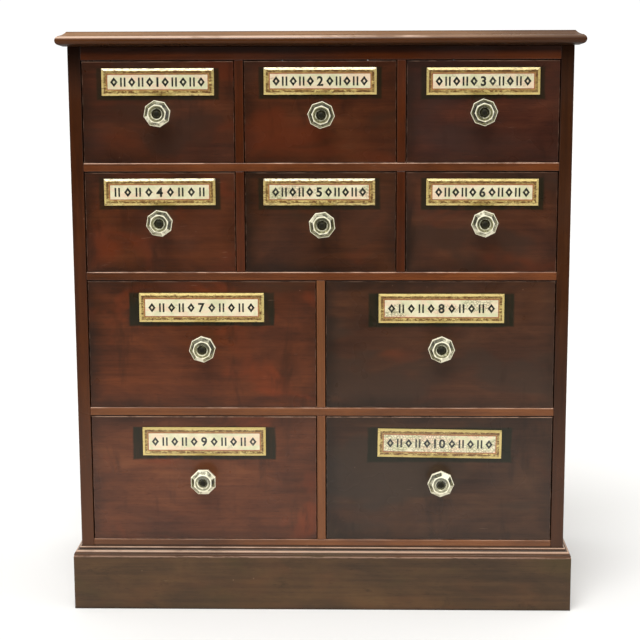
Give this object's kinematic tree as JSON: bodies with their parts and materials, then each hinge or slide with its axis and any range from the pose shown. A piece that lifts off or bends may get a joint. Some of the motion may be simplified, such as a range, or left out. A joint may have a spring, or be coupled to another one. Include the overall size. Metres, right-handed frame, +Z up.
{
  "type": "apothecary cabinet",
  "caption": "Free-standing mahogany apothecary chest with rows of small and large drawers, glass label plates, faceted glass knobs and a moulded plinth.",
  "frame": {"origin": "bottom centre of the whole chest's bounding box, on the floor", "axes": "+Z up, -Y out of the front (the way the drawers open), +X to the right seen from the front"},
  "size_m": [0.74, 0.3796, 0.842],
  "materials": {
    "mahogany_fronts": "french polish, worn",
    "mahogany_carcass": "french polish, worn",
    "mahogany_rails": "worn polish",
    "mahogany_plinth": "dull polish",
    "pine": "bare, aged",
    "pine_back": "bare, darkened",
    "drawer_wood": "bare, aged",
    "clear_glass": "pressed and polished",
    "tarnished_brass": "tarnished",
    "gilt_label": "reverse-painted glass, gilt border"
  },
  "bodies": {
    "carcass": {"top_board": "mahogany_carcass", "side_panel_left": "mahogany_carcass", "side_panel_right": "mahogany_carcass", "front_rails": "mahogany_rails", "front_muntins": "mahogany_rails", "dust_boards": "pine", "drawer_guides": "pine", "back_boards": "pine_back", "plinth_boards": "mahogany_plinth", "plinth_moulding": "mahogany_plinth"},
    "drawer_01": {"drawer_01_front": "mahogany_fronts", "drawer_01_box": "drawer_wood", "drawer_01_knob": "clear_glass", "drawer_01_knob_bolt": "tarnished_brass", "drawer_01_label": "gilt_label"},
    "drawer_02": {"drawer_02_front": "mahogany_fronts", "drawer_02_box": "drawer_wood", "drawer_02_knob": "clear_glass", "drawer_02_knob_bolt": "tarnished_brass", "drawer_02_label": "gilt_label"},
    "drawer_03": {"drawer_03_front": "mahogany_fronts", "drawer_03_box": "drawer_wood", "drawer_03_knob": "clear_glass", "drawer_03_knob_bolt": "tarnished_brass", "drawer_03_label": "gilt_label"},
    "drawer_04": {"drawer_04_front": "mahogany_fronts", "drawer_04_box": "drawer_wood", "drawer_04_knob": "clear_glass", "drawer_04_knob_bolt": "tarnished_brass", "drawer_04_label": "gilt_label"},
    "drawer_05": {"drawer_05_front": "mahogany_fronts", "drawer_05_box": "drawer_wood", "drawer_05_knob": "clear_glass", "drawer_05_knob_bolt": "tarnished_brass", "drawer_05_label": "gilt_label"},
    "drawer_06": {"drawer_06_front": "mahogany_fronts", "drawer_06_box": "drawer_wood", "drawer_06_knob": "clear_glass", "drawer_06_knob_bolt": "tarnished_brass", "drawer_06_label": "gilt_label"},
    "drawer_07": {"drawer_07_front": "mahogany_fronts", "drawer_07_box": "drawer_wood", "drawer_07_knob": "clear_glass", "drawer_07_knob_bolt": "tarnished_brass", "drawer_07_label": "gilt_label"},
    "drawer_08": {"drawer_08_front": "mahogany_fronts", "drawer_08_box": "drawer_wood", "drawer_08_knob": "clear_glass", "drawer_08_knob_bolt": "tarnished_brass", "drawer_08_label": "gilt_label"},
    "drawer_09": {"drawer_09_front": "mahogany_fronts", "drawer_09_box": "drawer_wood", "drawer_09_knob": "clear_glass", "drawer_09_knob_bolt": "tarnished_brass", "drawer_09_label": "gilt_label"},
    "drawer_10": {"drawer_10_front": "mahogany_fronts", "drawer_10_box": "drawer_wood", "drawer_10_knob": "clear_glass", "drawer_10_knob_bolt": "tarnished_brass", "drawer_10_label": "gilt_label"}
  },
  "joints": [
    {"name": "drawer_01_slide", "type": "slide", "parent": "carcass", "child": "drawer_01", "axis": [0, -1, 0], "range_m": [0, 0.26]},
    {"name": "drawer_02_slide", "type": "slide", "parent": "carcass", "child": "drawer_02", "axis": [0, -1, 0], "range_m": [0, 0.26]},
    {"name": "drawer_03_slide", "type": "slide", "parent": "carcass", "child": "drawer_03", "axis": [0, -1, 0], "range_m": [0, 0.26]},
    {"name": "drawer_04_slide", "type": "slide", "parent": "carcass", "child": "drawer_04", "axis": [0, -1, 0], "range_m": [0, 0.26]},
    {"name": "drawer_05_slide", "type": "slide", "parent": "carcass", "child": "drawer_05", "axis": [0, -1, 0], "range_m": [0, 0.26]},
    {"name": "drawer_06_slide", "type": "slide", "parent": "carcass", "child": "drawer_06", "axis": [0, -1, 0], "range_m": [0, 0.26]},
    {"name": "drawer_07_slide", "type": "slide", "parent": "carcass", "child": "drawer_07", "axis": [0, -1, 0], "range_m": [0, 0.26]},
    {"name": "drawer_08_slide", "type": "slide", "parent": "carcass", "child": "drawer_08", "axis": [0, -1, 0], "range_m": [0, 0.26]},
    {"name": "drawer_09_slide", "type": "slide", "parent": "carcass", "child": "drawer_09", "axis": [0, -1, 0], "range_m": [0, 0.26]},
    {"name": "drawer_10_slide", "type": "slide", "parent": "carcass", "child": "drawer_10", "axis": [0, -1, 0], "range_m": [0, 0.26]}
  ]
}
